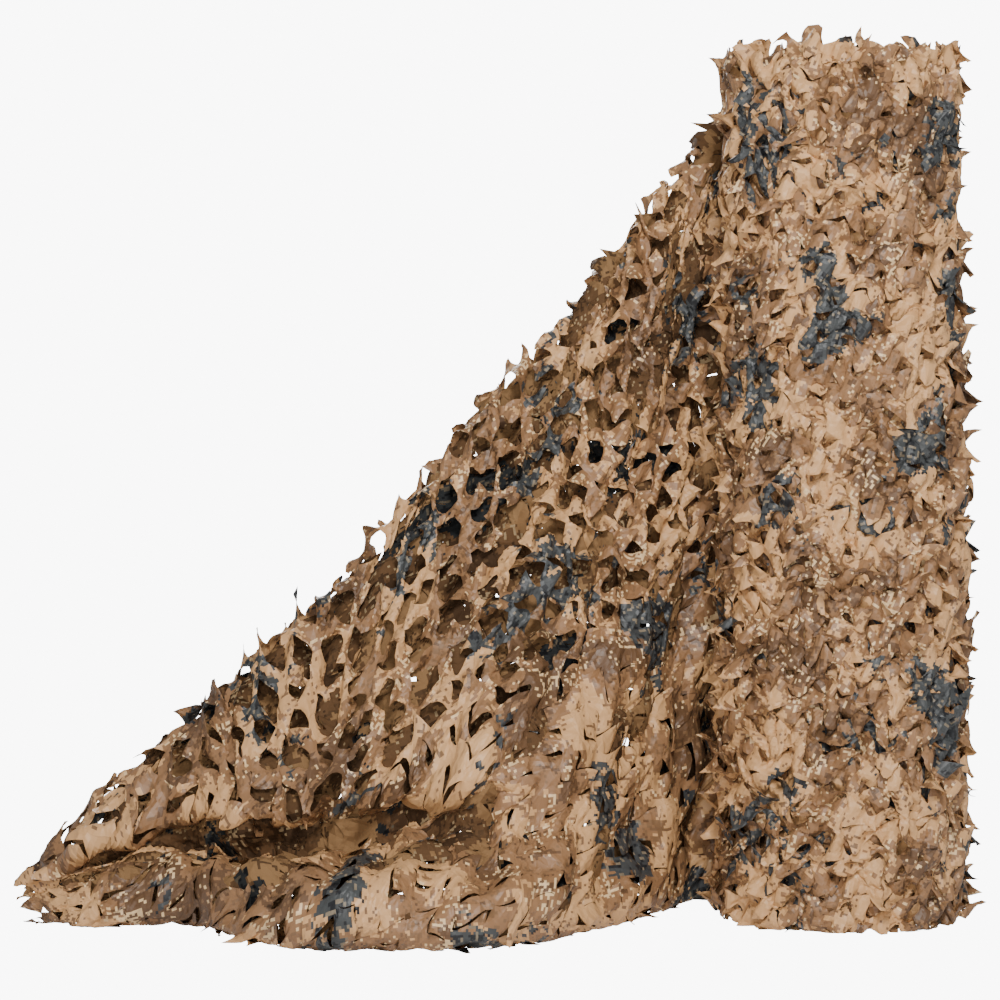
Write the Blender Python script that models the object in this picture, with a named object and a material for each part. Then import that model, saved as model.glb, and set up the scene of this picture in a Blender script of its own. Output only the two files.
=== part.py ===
"""Camouflage netting: a standing roll of net with its loose end pulled out and draped to the floor.

The net is one cloth 1.5 m wide. Most of it is wound into the upright roll. The loose end leaves the
roll at its back left, runs to the left over a ridge that falls from the roll's top to the floor, and
lies on the floor in a fold. Metres, +Z up, the origin at the centre of the roll's foot, and the front
of the drape towards -Y.
"""

import math

import bpy
import numpy as np

NET_WIDTH = 1.5  # the roll stands on one edge of the net
NET_THICKNESS = 0.003

# The roll.
ROLL_RADIUS = 0.208
ROLL_FLARE = 0.012  # how much wider the roll is at its foot
ROLL_HEIGHT = 1.485
FOOT_RADIUS = 0.195
FOOT_BEVEL = 0.018
SHOULDER = 0.035  # how far the top edge is rounded off
ROLL_SIDES = 48
ROLL_ROWS = 26
GARNISH = 0.009  # height of the leaf relief on the wound net
GARNISH_LEAST = 0.25  # the lowest leaf's share of that height
SWAY = (("oval", 0.004, 2, 5.0), ("three-sided", 0.003, 3, -9.0))  # form, size, waves round, twist
TURN_PITCH = 0.042  # the main turns that show on the roll's end
TURN_RELIEF = 0.010
END_DISH = 0.020
CORE_RADIUS = 0.022
GARNISH_SEED = 11

# The loose end. Each row is a section across the net, from the roll to the free end, in the plane of
# constant x. toe_y is where the lower fold meets the floor and puff how high it bulges. foot_y, foot_z
# is where the main slope lands, and lip how far it overhangs the crease there. ridge_y, ridge_z is the
# top, and flap how much net hangs down behind it.
COLUMNS = ("x", "toe_y", "puff", "foot_y", "foot_z", "lip", "ridge_y", "ridge_z", "flap")
SECTIONS = (
    (-0.118, 0.216, 0.05, 0.216, 0.30, 0.00, 0.214, 1.490, 0.00),
    (-0.235, 0.150, 0.05, 0.140, 0.30, 0.00, 0.165, 1.393, 0.10),
    (-0.315, 0.000, 0.06, 0.020, 0.28, 0.00, 0.140, 1.290, 0.16),
    (-0.400, -0.170, 0.07, -0.100, 0.27, 0.00, 0.130, 1.180, 0.22),
    (-0.500, -0.325, 0.09, -0.220, 0.25, 0.00, 0.115, 1.050, 0.28),
    (-0.620, -0.420, 0.11, -0.290, 0.23, 0.03, 0.100, 0.915, 0.33),
    (-0.750, -0.450, 0.11, -0.250, 0.20, 0.06, 0.085, 0.770, 0.36),
    (-0.880, -0.430, 0.11, -0.200, 0.17, 0.12, 0.070, 0.604, 0.40),
    (-0.990, -0.365, 0.11, -0.170, 0.16, 0.12, 0.060, 0.506, 0.47),
    (-1.060, -0.270, 0.10, -0.140, 0.15, 0.11, 0.050, 0.446, 0.54),
    (-1.120, -0.170, 0.10, -0.090, 0.15, 0.08, 0.045, 0.396, 0.60),
    (-1.200, -0.165, 0.10, -0.080, 0.14, 0.07, 0.035, 0.334, 0.62),
    (-1.290, -0.175, 0.08, -0.090, 0.12, 0.03, 0.040, 0.250, 0.56),
    (-1.370, -0.130, 0.045, -0.060, 0.07, 0.00, 0.050, 0.150, 0.42),
    (-1.445, -0.080, 0.025, -0.030, 0.035, 0.00, 0.070, 0.050, 0.30),
)
TUCK = 0.13  # hem turned under the toe
TUCK_FADE = 0.30  # the tuck grows over this much cloth at either end
LEAST_TUCK = 0.12  # the share of the tuck left at either end
RIDGE_ROUND = 0.045
CREASE_GAP = 0.055  # height of the crease under the lip
LOW_GAP = 0.35  # and its most, as a share of foot_z
FLAP_LEAN = 0.22  # how far the back flap leans out for each metre it falls
FLAP_FALL = 0.93  # the share of the height that the flap falls before it lies on the floor
END_BOW = 0.22  # the cut end is bowed this much, for each metre squared from its tip
END_TIP = 0.35  # share of the way across the net where the cut end reaches furthest
END_REACH = 0.35
SPLINE_STEPS = 14
FINE_ALONG = 240
FINE_ACROSS = 360
FLOOR_GAP = NET_THICKNESS / 2  # the cloth's middle stays this high, so its underside lies on z = 0

# Creases in the drape. Each wave runs across its crease, which tilts by so many degrees.
CREASES = (
    # name, height, length of one wave, tilt, phase
    ("long slant", 0.011, 0.31, 38.0, 0.4),
    ("short slant", 0.007, 0.17, 62.0, 2.1),
    ("upright", 0.006, 0.11, 8.0, 1.2),
    ("level", 0.005, 0.19, 96.0, 4.0),
)
CREASE_RAMP = 0.06  # creases fade out within this height of the floor, and this near the roll
BEND_SPAN = 14  # fine steps to either side over which a sharp bend is measured
SHARP_BEND = 0.72  # where chord over arc is this or less, the cloth keeps no crease
SOFT_BEND = 0.94

CELLS_ALONG = 36
CELLS_ACROSS = 44
HOLE_ALONG = 2  # one cell in this many is a hole, along the net and across it
HOLE_ACROSS = 3
HOLE_TURN = math.radians(12)  # alternate holes lean this much to either side


def spline_through(at, values, where):
    """Smooth values between the rows of a table whose rows stand at the given places."""
    slope = np.gradient(values, at, axis=0)
    i = np.clip(np.searchsorted(at, where, side="right") - 1, 0, len(at) - 2)
    span = (at[i + 1] - at[i])[:, None]
    t = ((where - at[i]) / span[:, 0])[:, None]
    return (
        (2 * t**3 - 3 * t**2 + 1) * values[i]
        + (t**3 - 2 * t**2 + t) * span * slope[i]
        + (3 * t**2 - 2 * t**3) * values[i + 1]
        + (t**3 - t**2) * span * slope[i + 1]
    )


def section_distances(table):
    """How far along the net each section lies: the mean of the way by the toe and by the ridge."""
    x, toe_y, ridge_y, ridge_z = (table[:, COLUMNS.index(c)] for c in ("x", "toe_y", "ridge_y", "ridge_z"))
    by_toe = np.hypot(np.diff(x), np.diff(toe_y))
    by_ridge = np.sqrt(np.diff(x) ** 2 + np.diff(ridge_y) ** 2 + np.diff(ridge_z) ** 2)
    return np.concatenate([[0.0], np.cumsum((by_toe + by_ridge) / 2)])


def front_points(toe_y, puff, foot_y, foot_z, lip, ridge_y, ridge_z, tuck):
    """(y, z) control points from the hem under the toe, by the fold and its lip, to the ridge."""
    floor = FLOOR_GAP
    gap = min(CREASE_GAP, LOW_GAP * foot_z)
    return (
        (toe_y + tuck, floor),
        (toe_y + 0.6 * tuck, floor),
        (toe_y + 0.25 * tuck, floor),
        (toe_y - 0.04 * tuck, floor + 0.25 * puff),
        (toe_y - 0.05 * tuck, 0.85 * puff),
        (toe_y + 0.35 * puff + 0.2 * (foot_y - toe_y), 1.12 * puff),
        (0.5 * (toe_y + foot_y + lip), 0.45 * (puff + foot_z)),
        (foot_y + 1.15 * lip, foot_z - gap),
        (foot_y + 1.40 * lip, foot_z - 0.4 * gap),
        (foot_y + 1.15 * lip, foot_z + 0.2 * gap),
        (foot_y - 0.20 * lip, foot_z + 0.25 * gap),
        (foot_y - 0.32 * lip, foot_z + 1.1 * gap),
        (0.82 * foot_y + 0.18 * ridge_y, 0.82 * foot_z + 0.18 * ridge_z + 0.6 * gap),
        (0.5 * (foot_y + ridge_y), 0.5 * (foot_z + ridge_z)),
        (0.2 * foot_y + 0.8 * ridge_y, 0.2 * foot_z + 0.8 * ridge_z),
        (ridge_y - 0.2 * RIDGE_ROUND, ridge_z),
    )


def flap_points(ridge_y, ridge_z, flap):
    """(y, z) control points from behind the ridge down the flap and out on the floor."""
    start = min(RIDGE_ROUND, flap)
    hang = min(flap, FLAP_FALL * (ridge_z - RIDGE_ROUND))
    rest = max(0.0, flap - hang)
    top_y = ridge_y + start
    knee_y = top_y + FLAP_LEAN * hang
    knee_z = max(FLOOR_GAP, ridge_z - start - 0.9 * hang)
    end_z = max(FLOOR_GAP, ridge_z - start - hang - rest)
    return (
        (top_y, ridge_z - 0.4 * start),
        (0.5 * (top_y + knee_y), ridge_z - 0.5 * (start + hang)),
        (knee_y + 0.06 * rest, knee_z),
        (knee_y + 0.5 * rest, end_z),
        (knee_y + rest, end_z),
    )


def smooth_line(points):
    """A cubic B-spline that starts and ends on its end points."""
    p = np.asarray(points)
    p = np.concatenate([p[:1], p[:1], p, p[-1:], p[-1:]])
    t = np.linspace(0, 1, SPLINE_STEPS, endpoint=False)[:, None]
    weights = ((1 - t) ** 3, 3 * t**3 - 6 * t**2 + 4, -3 * t**3 + 3 * t**2 + 3 * t + 1, t**3)
    spans = [sum(w * p[k + n] for n, w in enumerate(weights)) / 6 for k in range(len(p) - 3)]
    return np.concatenate([*spans, p[-1:]])


def evenly(line, count):
    """The line's points, set out again at even steps of its length."""
    way = np.concatenate([[0.0], np.cumsum(np.hypot(*np.diff(line, axis=0).T))])
    place = np.linspace(0, way[-1], count)
    return np.column_stack([np.interp(place, way, line[:, 0]), np.interp(place, way, line[:, 1])])


def smooth_drape(rows, along):
    """The drape without creases, as a grid of points: steps along the net by steps across it."""
    length = along[-1]
    surface = np.empty((FINE_ALONG, FINE_ACROSS, 3))
    for i, row in enumerate(rows):
        ends = min(along[i], length - along[i]) / TUCK_FADE
        tuck = TUCK * min(1.0, max(LEAST_TUCK, ends))
        line = smooth_line(front_points(*row[1:8], tuck) + flap_points(*row[6:9]))
        surface[i, :, 0] = row[0]
        surface[i, :, 1:] = evenly(line, FINE_ACROSS)
    across = np.linspace(0, 1, FINE_ACROSS)
    near_end = np.clip((along - length) / END_REACH + 1, 0, 1) ** 2
    surface[:, :, 0] += END_BOW * near_end[:, None] * (across - END_TIP)[None, :] ** 2
    return surface


def bend_share(surface):
    """From 0 where the cloth turns sharply to 1 where it runs nearly straight across the net."""
    reach = np.arange(FINE_ACROSS)
    low = np.clip(reach - BEND_SPAN, 0, FINE_ACROSS - 1)
    high = np.clip(reach + BEND_SPAN, 0, FINE_ACROSS - 1)
    chord = np.linalg.norm(surface[:, high] - surface[:, low], axis=2)
    step = np.linalg.norm(np.diff(surface[:, :, 1:], axis=1), axis=2).mean(axis=1)
    straight = chord / (step[:, None] * (high - low)[None, :])
    return np.clip((straight - SHARP_BEND) / (SOFT_BEND - SHARP_BEND), 0, 1)


def add_creases(surface, along):
    """Raise the creases along the drape's normal, and lay what would sink on the floor."""
    normal = np.cross(np.gradient(surface, axis=1), np.gradient(surface, axis=0))
    normal /= np.linalg.norm(normal, axis=2, keepdims=True) + 1e-12
    across = np.linspace(0, NET_WIDTH, FINE_ACROSS)
    height = np.zeros((FINE_ALONG, FINE_ACROSS))
    for _, rise, wave, tilt, phase in CREASES:
        turn = math.radians(tilt)
        place = along[:, None] * math.cos(turn) + across[None, :] * math.sin(turn)
        height += rise * np.sin(2 * math.pi * place / wave + phase)
    off_floor = np.clip(surface[:, :, 2] / CREASE_RAMP, 0, 1)
    off_roll = np.clip(along / CREASE_RAMP, 0, 1)[:, None]
    creased = surface + normal * (height * off_floor * off_roll * bend_share(surface))[:, :, None]
    creased[:, :, 2] = np.maximum(creased[:, :, 2], FLOOR_GAP)
    return creased


def draped_surface():
    """The middle surface of the loose end, as a fine grid of points."""
    table = np.array(SECTIONS)
    at = section_distances(table)
    along = np.linspace(0, at[-1], FINE_ALONG)
    return add_creases(smooth_drape(spline_through(at, table, along), along), along)


def point_on(surface, u, v):
    """The point at share u of the way along the fine grid and v of the way across it."""
    a = u * (FINE_ALONG - 1)
    b = v * (FINE_ACROSS - 1)
    i = min(int(a), FINE_ALONG - 2)
    j = min(int(b), FINE_ACROSS - 2)
    a, b = a - i, b - j
    near = (1 - b) * surface[i, j] + b * surface[i, j + 1]
    far = (1 - b) * surface[i + 1, j] + b * surface[i + 1, j + 1]
    return (1 - a) * near + a * far


def is_hole(i, j):
    """Whether the cell in column i along the net and row j across it is cut out."""
    if i % HOLE_ALONG == 0 or not 1 <= j < CELLS_ACROSS - 1 or i >= CELLS_ALONG - 1:
        return False
    stagger = (i // HOLE_ALONG) % 2
    return (j + 1 + stagger) % HOLE_ACROSS == 0


def grid_places():
    """Each grid corner's place on the cloth, with the corners of every hole turned about its centre."""
    along, across = np.meshgrid(
        np.arange(CELLS_ALONG + 1) / CELLS_ALONG, np.arange(CELLS_ACROSS + 1) / CELLS_ACROSS, indexing="ij"
    )
    for i in range(CELLS_ALONG):
        for j in range(CELLS_ACROSS):
            if not is_hole(i, j):
                continue
            turn = HOLE_TURN * (1 if (i // HOLE_ALONG + j) % 2 else -1)
            for a in (0, 1):
                for b in (0, 1):
                    du, dv = a - 0.5, b - 0.5
                    u = i + 0.5 + du * math.cos(turn) - dv * math.sin(turn)
                    v = j + 0.5 + du * math.sin(turn) + dv * math.cos(turn)
                    along[i + a, j + b] = u / CELLS_ALONG
                    across[i + a, j + b] = v / CELLS_ACROSS
    return along, across


def new_object(name, points, faces, material):
    mesh = bpy.data.meshes.new(name)
    mesh.from_pydata([tuple(p) for p in points], [], faces)
    mesh.validate()
    mesh.shade_smooth()
    mesh.materials.append(material)
    piece = bpy.data.objects.new(name, mesh)
    bpy.context.scene.collection.objects.link(piece)
    return piece


def new_material(name, colour, roughness):
    material = bpy.data.materials.new(name)
    material.use_nodes = True
    shader = material.node_tree.nodes["Principled BSDF"]
    shader.inputs["Base Color"].default_value = (*colour, 1)
    shader.inputs["Roughness"].default_value = roughness
    return material


def make_loose_end(material):
    surface = draped_surface()
    along, across = grid_places()
    points = [point_on(surface, u, v) for u, v in zip(along.flat, across.flat)]
    row = CELLS_ACROSS + 1
    faces = [
        (i * row + j, i * row + j + 1, (i + 1) * row + j + 1, (i + 1) * row + j)
        for i in range(CELLS_ALONG)
        for j in range(CELLS_ACROSS)
        if not is_hole(i, j)
    ]
    piece = new_object("loose_end", points, faces, material)
    shell = piece.modifiers.new("cloth", "SOLIDIFY")
    shell.thickness = NET_THICKNESS
    shell.offset = 0
    return piece


def side_rings(turn, ring, rng):
    """Rings up the roll's side, with leaves standing out and lying in by turns."""
    rings = []
    for k in range(ROLL_ROWS + 1):
        share = k / ROLL_ROWS
        height = FOOT_BEVEL + share * (ROLL_HEIGHT - SHOULDER - FOOT_BEVEL)
        radius = ROLL_RADIUS + ROLL_FLARE * (1 - share) ** 2
        for _, size, waves, twist in SWAY:
            radius = radius + size * np.sin(waves * turn + twist * share)
        out_or_in = 1 - 2 * ((np.arange(ROLL_SIDES) + k) % 2)
        leaves = GARNISH * out_or_in * rng.uniform(GARNISH_LEAST, 1, ROLL_SIDES)
        rings.append(ring(radius + leaves, height))
    return rings


def end_rings(turn, ring, rng):
    """Rings in over the wound end, with the main turns as a spiral ridge."""
    rings = []
    for radius in np.arange(ROLL_RADIUS - 0.5 * SHOULDER, CORE_RADIUS, -0.5 * TURN_PITCH):
        winding = (radius / TURN_PITCH + turn / (2 * math.pi)) % 1.0
        relief = TURN_RELIEF * np.sin(2 * math.pi * winding) + rng.uniform(-0.5, 0.5, ROLL_SIDES) * GARNISH
        dish = END_DISH * (1 - radius / ROLL_RADIUS)
        rings.append(ring(radius, ROLL_HEIGHT - dish + relief))
    rings.append(ring(CORE_RADIUS, ROLL_HEIGHT - END_DISH))
    return rings


def make_roll(material):
    turn = np.arange(ROLL_SIDES) * 2 * math.pi / ROLL_SIDES
    around = np.stack([np.cos(turn), np.sin(turn)], axis=1)

    def ring(radius, height):
        out = around * np.broadcast_to(radius, ROLL_SIDES)[:, None]
        return np.column_stack([out, np.broadcast_to(height, ROLL_SIDES)])

    rng = np.random.default_rng(GARNISH_SEED)
    rings = [ring(FOOT_RADIUS, 0.0), *side_rings(turn, ring, rng), *end_rings(turn, ring, rng)]
    faces = [tuple(reversed(range(ROLL_SIDES)))]
    for k in range(len(rings) - 1):
        low, high = k * ROLL_SIDES, (k + 1) * ROLL_SIDES
        for i in range(ROLL_SIDES):
            after = (i + 1) % ROLL_SIDES
            a, b, c, d = low + i, low + after, high + after, high + i
            if (i + k) % 2:  # each square is split between the two corners that lie in
                faces += [(a, b, d), (b, c, d)]
            else:
                faces += [(a, b, c), (a, c, d)]
    last = (len(rings) - 1) * ROLL_SIDES
    faces.append(tuple(last + i for i in range(ROLL_SIDES)))
    return new_object("roll", np.concatenate(rings), faces, material)


def main():
    for piece in list(bpy.data.objects):
        bpy.data.objects.remove(piece)
    wound = new_material("wound netting", (0.42, 0.30, 0.20), 0.75)
    draped = new_material("draped netting", (0.46, 0.33, 0.22), 0.70)
    make_roll(wound)
    make_loose_end(draped)


main()
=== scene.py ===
"""Camouflage netting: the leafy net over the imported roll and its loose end.

The net is cloth with staggered rows of curved slits. Pulled open, the strips between the slits bend
and twist, and their cut edges stand up as leaves. Each piece here is such a cut cloth, laid on a
surface and relaxed: its strips keep their cut lengths and find their own bends.
"""

import math

import bpy
import numpy as np
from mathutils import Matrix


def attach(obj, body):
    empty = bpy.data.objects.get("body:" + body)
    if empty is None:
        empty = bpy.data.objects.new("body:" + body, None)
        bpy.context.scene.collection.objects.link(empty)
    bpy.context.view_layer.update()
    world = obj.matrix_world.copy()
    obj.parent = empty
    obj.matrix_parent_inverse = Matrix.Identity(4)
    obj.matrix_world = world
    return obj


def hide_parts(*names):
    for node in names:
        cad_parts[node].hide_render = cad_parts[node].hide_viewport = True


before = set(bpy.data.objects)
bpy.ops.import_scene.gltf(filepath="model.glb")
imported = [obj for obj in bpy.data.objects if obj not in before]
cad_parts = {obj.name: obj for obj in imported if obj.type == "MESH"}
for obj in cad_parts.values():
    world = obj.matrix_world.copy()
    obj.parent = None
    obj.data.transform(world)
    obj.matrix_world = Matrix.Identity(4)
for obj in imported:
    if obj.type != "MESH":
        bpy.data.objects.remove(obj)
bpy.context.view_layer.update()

# The cloth before it is pulled open: rows of slits, each row shifted by half a pitch and mirrored.
SLIT_PITCH = 0.126
SLIT_ROW = 0.0325
BRIDGE = 0.027  # uncut cloth between two slits of a row
LEAF = 0.027  # how far a slit's two leaf tips stand off its line, one to each side
LEAF_SPREAD = (0.4, 1.15)  # the leaves' lengths vary by these shares
TIP_AT = 0.30  # share of the slit's length where its first tip is
TIP_SPREAD = (-0.05, 0.06)  # and by how much this share varies
OUTER_CURVE = 2.1  # above 1 a leaf's outer edge is hollow
INNER_CURVE = 1.1  # above 1 a leaf's inner edge is round
LIFT_SPREAD = (0.3, 1.0)  # the leaves start out raised by these shares of the piece's lift
UNDER_LIFT = -0.5  # a leaf's other side starts out sunk by this share of it
# The same cell once the net is pulled open, and the slits' turn from the net's length.
OPEN_CELL = (0.099, 0.0455)
WOUND_CELL = (0.098, 0.032)
SLANT = 45.0
NET_WIDTH = 1.5
FLOOR_GAP = 0.0015  # nothing comes nearer to the floor than this

# The roll.
ROLL_FLARE = 0.012  # how much wider the foot is than the top
ROLL_TOP = 1.497
SWAY = (("oval", 0.004, 2, 5.0), ("three-sided", 0.003, 3, -9.0))  # form, size, waves round, twist
LEAVES_AT = math.radians(119)  # where the loose end leaves the roll, from +X

# The loose end, as in the part's source: sections across the net from the roll to the free end.
COLUMNS = ("x", "toe_y", "puff", "foot_y", "foot_z", "lip", "ridge_y", "ridge_z", "flap")
SECTIONS = (
    (-0.118, 0.216, 0.05, 0.216, 0.30, 0.00, 0.214, 1.490, 0.00),
    (-0.235, 0.150, 0.05, 0.140, 0.30, 0.00, 0.165, 1.393, 0.10),
    (-0.315, 0.000, 0.06, 0.020, 0.28, 0.00, 0.140, 1.290, 0.16),
    (-0.400, -0.170, 0.07, -0.100, 0.27, 0.00, 0.130, 1.180, 0.22),
    (-0.500, -0.325, 0.09, -0.220, 0.25, 0.00, 0.115, 1.050, 0.28),
    (-0.620, -0.420, 0.11, -0.290, 0.23, 0.03, 0.100, 0.915, 0.33),
    (-0.750, -0.450, 0.11, -0.250, 0.20, 0.06, 0.085, 0.770, 0.36),
    (-0.880, -0.430, 0.11, -0.200, 0.17, 0.12, 0.070, 0.604, 0.40),
    (-0.990, -0.365, 0.11, -0.170, 0.16, 0.12, 0.060, 0.506, 0.47),
    (-1.060, -0.270, 0.10, -0.140, 0.15, 0.11, 0.050, 0.446, 0.54),
    (-1.120, -0.170, 0.10, -0.090, 0.15, 0.08, 0.045, 0.396, 0.60),
    (-1.200, -0.165, 0.10, -0.080, 0.14, 0.07, 0.035, 0.334, 0.62),
    (-1.290, -0.175, 0.08, -0.090, 0.12, 0.03, 0.040, 0.250, 0.56),
    (-1.370, -0.130, 0.045, -0.060, 0.07, 0.00, 0.050, 0.150, 0.42),
    (-1.445, -0.080, 0.025, -0.030, 0.035, 0.00, 0.070, 0.050, 0.30),
)
TUCK = 0.13  # how far the hem is folded in under the toe
TUCK_FADE = 0.30  # towards both ends of the drape it is folded in less, over this length
LEAST_TUCK = 0.12  # down to this share
RIDGE_ROUND = 0.045
CREASE_GAP = 0.055  # height of the crease under the lip
LOW_GAP = 0.35  # but no more than this share of how high up it is
FLAP_LEAN = 0.22  # how far the back flap leans out for each metre down
FLAP_FALL = 0.93  # share of its way to the floor that it hangs before it bends out
END_BOW = 0.22  # how strongly the free end falls back on both sides of its tip
END_TIP = 0.35  # share across the net where that tip is
END_REACH = 0.35  # length of the drape that this bends
SPLINE_STEPS = 14
FINE_ALONG = 240
FINE_ACROSS = 360
CREASES = (
    # name, height, length of one wave, tilt, phase
    ("long slant", 0.011, 0.31, 38.0, 0.4),
    ("short slant", 0.007, 0.17, 62.0, 2.1),
    ("upright", 0.006, 0.11, 8.0, 1.2),
    ("level", 0.005, 0.19, 96.0, 4.0),
)
CREASE_RAMP = 0.06  # the creases fade out this far from the floor and from the roll
INNER_DEPTH = 0.035  # how far the two layers inside lie under the first
LINING_DEPTH = 0.055
LAYER_GAP = LINING_DEPTH - INNER_DEPTH
INNER_RIDGE = 0.3  # share of its depth by which an inner layer's ridge is set back
INNER_MOST = (("foot_z", 0.8), ("puff", 0.5))  # no higher than these shares of its ridge
LEAST_INNER = 0.06  # an inner layer ends where its ridge would be lower than this

WRAP_TURN = math.radians(60)  # the loose end's cloth begins this far back round the roll
WRAP_STEPS = 30
WRAP_RADIUS = 0.222
WOUND_START = LEAVES_AT + 0.5  # the wound turns start a little past that
WOUND_STEPS = 220
WOUND_ROWS = 120
COIL_OUT = 0.196  # the spiral of turns at the roll's ends: its radius outside and inside
COIL_IN = 0.020
COIL_PITCH = 0.016
COIL_STEPS = 1200
COIL_ROWS = 4
COIL_BAND = 0.090  # width of net that is modelled of those turns
CORE_RADIUS = 0.160
CORE_SIDES = 64
# share of the core's radius, height
CORE_LEVELS = ((0.6, 0.030), (0.97, 0.034), (1.0, 0.060), (1.0, 1.400), (0.97, 1.424), (0.6, 1.428))

FLAT_NODES = 33  # nodes each way of the drape as it is laid flat
FLAT_LEVELS = ((4, 300), (2, 400), (1, 700))  # stride over the nodes, rounds
FLAT_PULL = 0.8
LEAST_FLAT = 0.35  # the laid out cloth is smoothed until each part keeps this share of its area
FLAT_TRIES = 12  # rounds to find the place on the surface of a point of the flat cloth
FLAT_STEP = 0.02  # share of the surface that one round moves it at most
FLAT_OVER = 0.2  # share of the surface that it may come to lie beside it
NODE_BATCH = 5000

# The drape's lower front is closed: share along the drape, and share across it up to which it is.
CLOSED = ((0.0, 0.50), (0.33, 0.47), (0.45, 0.46), (0.82, 0.46), (0.90, 0.50), (0.96, 1.2), (1.0, 1.2))
CLOSED_WAVER = 0.03  # that edge wanders by this share
CLOSED_FADE = 0.10  # and the net opens up over this share
CLOSED_MOST = 0.92  # 1 would be cloth that isn't pulled open at all
CLOSED_SLACK = 1.02  # share of its way on the surface that a thread keeps there
CLOSED_CALM = 0.55  # leaves stand up so much less where the net is closed
OVERHANG = 0.035  # leaves may reach so far over the surface's edges, as a share
TRIM = 0.986  # the drape's net ends at this share across it, and its leaves reach on

# How the net relaxes.
BENDS = ((2, 0.99), (4, 0.96))  # points so many steps apart stay at least so straight
BEND_PULL = 0.4
HOLD = 0.25  # pull of the surface on the uncut bridges
HELD_SHARE = 0.6  # share of the wobble that the bridges follow
TIP_PULL = 0.4
TIP_WIDTH = ((-1, 0.65), (0, 1.0), (1, 0.65))  # points beside a tip rise with it, by this share
LOW_TIP = -0.7  # a leaf's tip stands up by this to 1 of the piece's stand
ROUNDS = 150
SOFT_ROUNDS = 10  # the threads pull half as hard up to this round
JUMBLE = 0.008  # how far the uncut bridges are pulled out of line
WOBBLE = 0.006  # height of the cloth's own unevenness
WOBBLE_WAVES = (0.09, 0.13, 0.20)
WOBBLE_TURNS = 3  # waves of each length, each with its own direction
FOLD = math.radians(13)  # cloth that bends more than this between two faces shows a crease
TINY = 1e-9

# The nets over the drape: depth, seed, slant, steps a slit and a row, leaf height, starting lift,
# farthest from the surface, rounds, how closed, share of the surface that they cover, print darkened as
# painted shade.
LAYER_COLUMNS = (
    "depth", "seed", "slant", "detail", "stand", "lift", "cap", "rounds", "closed", "trim", "painted_shade"
)
LAYERS = {
    "loose_net": (0.0, 5, SLANT, (20, 6), 0.044, 0.014, 0.046, ROUNDS, "hem", TRIM, False),
    "loose_inner": (INNER_DEPTH, 6, -SLANT, (14, 4), 0.016, 0.008, LAYER_GAP, 80, 0.85, 1.0, True),
    "loose_lining": (LINING_DEPTH, 8, SLANT, (14, 4), 0.020, 0.010, LAYER_GAP, 100, 0.6, 1.0, False),
}
# The roll's outer turns, as nets round it.
TURN_COLUMNS = ("radius", "turns", "drop", "seed", "slant", "detail", "stand")
TURNS = {
    "wound_outer": (0.210, 1.06, 0.012, 21, 24.0, (20, 6), 0.046),
    "wound_second": (0.195, 1.0, 0.010, 22, -20.0, (16, 5), 0.036),
    "wound_third": (0.180, 1.0, 0.010, 23, 58.0, (12, 4), 0.022),
}
TURN_LIFT = 0.018
TURN_CAP = 0.048
# The turns' edges at the roll's two ends: how low the band begins, seed.
COILS = {"coil_top": (ROLL_TOP - COIL_BAND, 31), "coil_foot": (FLOOR_GAP, 32)}
COIL_DETAIL = (12, 4)
COIL_STAND = 0.006
COIL_CAP = 0.014


def spline_through(at, values, where):
    """A smooth curve through values at given places, read off at others."""
    slope = np.gradient(values, at, axis=0)
    i = np.clip(np.searchsorted(at, where, side="right") - 1, 0, len(at) - 2)
    span = (at[i + 1] - at[i])[:, None]
    t = ((where - at[i]) / span[:, 0])[:, None]
    return (
        (2 * t**3 - 3 * t**2 + 1) * values[i]
        + (t**3 - 2 * t**2 + t) * span * slope[i]
        + (3 * t**2 - 2 * t**3) * values[i + 1]
        + (t**3 - t**2) * span * slope[i + 1]
    )


def section_distances(table):
    """How far along the drape each section lies, between the way of its toe and of its ridge."""
    names = ("x", "toe_y", "ridge_y", "ridge_z")
    x, toe_y, ridge_y, ridge_z = (table[:, COLUMNS.index(name)] for name in names)
    by_toe = np.hypot(np.diff(x), np.diff(toe_y))
    by_ridge = np.sqrt(np.diff(x) ** 2 + np.diff(ridge_y) ** 2 + np.diff(ridge_z) ** 2)
    return np.concatenate([[0.0], np.cumsum((by_toe + by_ridge) / 2)])


def front_points(toe_y, puff, foot_y, foot_z, lip, ridge_y, ridge_z, tuck):
    """(y, z) control points from the hem under the toe, by the fold and its lip, to the ridge."""
    floor = FLOOR_GAP
    gap = min(CREASE_GAP, LOW_GAP * foot_z)
    return (
        (toe_y + tuck, floor),
        (toe_y + 0.6 * tuck, floor),
        (toe_y + 0.25 * tuck, floor),
        (toe_y - 0.04 * tuck, floor + 0.25 * puff),
        (toe_y - 0.05 * tuck, 0.85 * puff),
        (toe_y + 0.35 * puff + 0.2 * (foot_y - toe_y), 1.12 * puff),
        (0.5 * (toe_y + foot_y + lip), 0.45 * (puff + foot_z)),
        (foot_y + 1.15 * lip, foot_z - gap),
        (foot_y + 1.40 * lip, foot_z - 0.4 * gap),
        (foot_y + 1.15 * lip, foot_z + 0.2 * gap),
        (foot_y - 0.20 * lip, foot_z + 0.25 * gap),
        (foot_y - 0.32 * lip, foot_z + 1.1 * gap),
        (0.82 * foot_y + 0.18 * ridge_y, 0.82 * foot_z + 0.18 * ridge_z + 0.6 * gap),
        (0.5 * (foot_y + ridge_y), 0.5 * (foot_z + ridge_z)),
        (0.2 * foot_y + 0.8 * ridge_y, 0.2 * foot_z + 0.8 * ridge_z),
        (ridge_y - 0.2 * RIDGE_ROUND, ridge_z),
    )


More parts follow.
